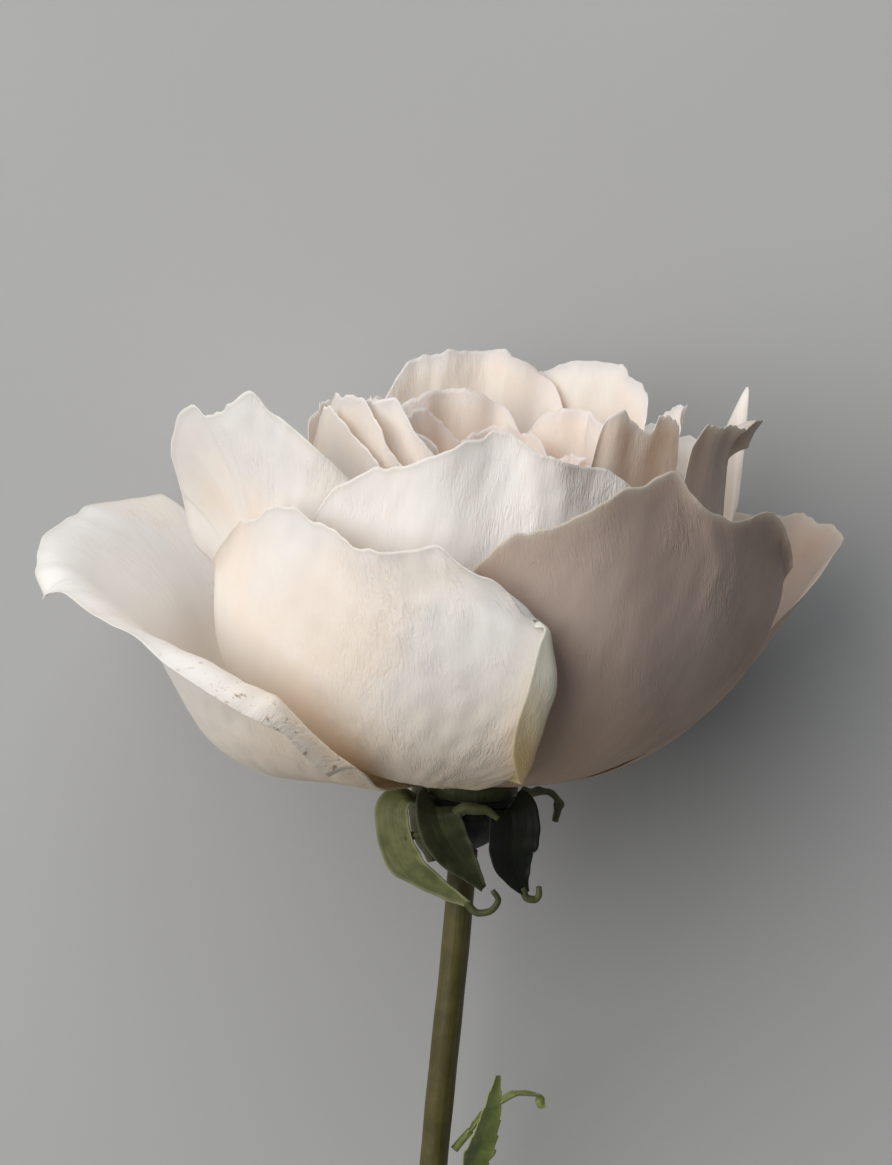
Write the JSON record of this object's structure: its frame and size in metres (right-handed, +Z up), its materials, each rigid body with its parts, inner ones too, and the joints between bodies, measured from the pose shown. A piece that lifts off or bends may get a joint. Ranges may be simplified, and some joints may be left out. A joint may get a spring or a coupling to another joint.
{
  "type": "garden rose",
  "caption": "Lying cut garden rose with blush white layered petals, a peach heart, turned-down sepals, a bare stem and two small leaves",
  "frame": {"origin": "centre of the lying flower's bounding box, on the surface that it lies on", "axes": "+Y runs along the stem from its cut end to the bloom, +X is to the right of the bloom as seen from above with the bloom at the top, +Z is up"},
  "size_m": [0.1034, 0.2282, 0.0774],
  "materials": {
    "petal_white": "soft matt petal, white with a faint blush",
    "petal_heart": "soft matt petal, peach pink",
    "stamen_yellow": "powdery yellow",
    "sepal_green": "matt green with paler edges",
    "stem_green": "matt olive green turning brown",
    "leaf_green": "matt mid green"
  },
  "bodies": {
    "root": {"petals": "petal_white", "heart_petals": "petal_heart", "stamens": "stamen_yellow", "calyx": "sepal_green", "stem": "stem_green", "leaf": "leaf_green", "thin_leaf": "leaf_green"}
  },
  "joints": []
}
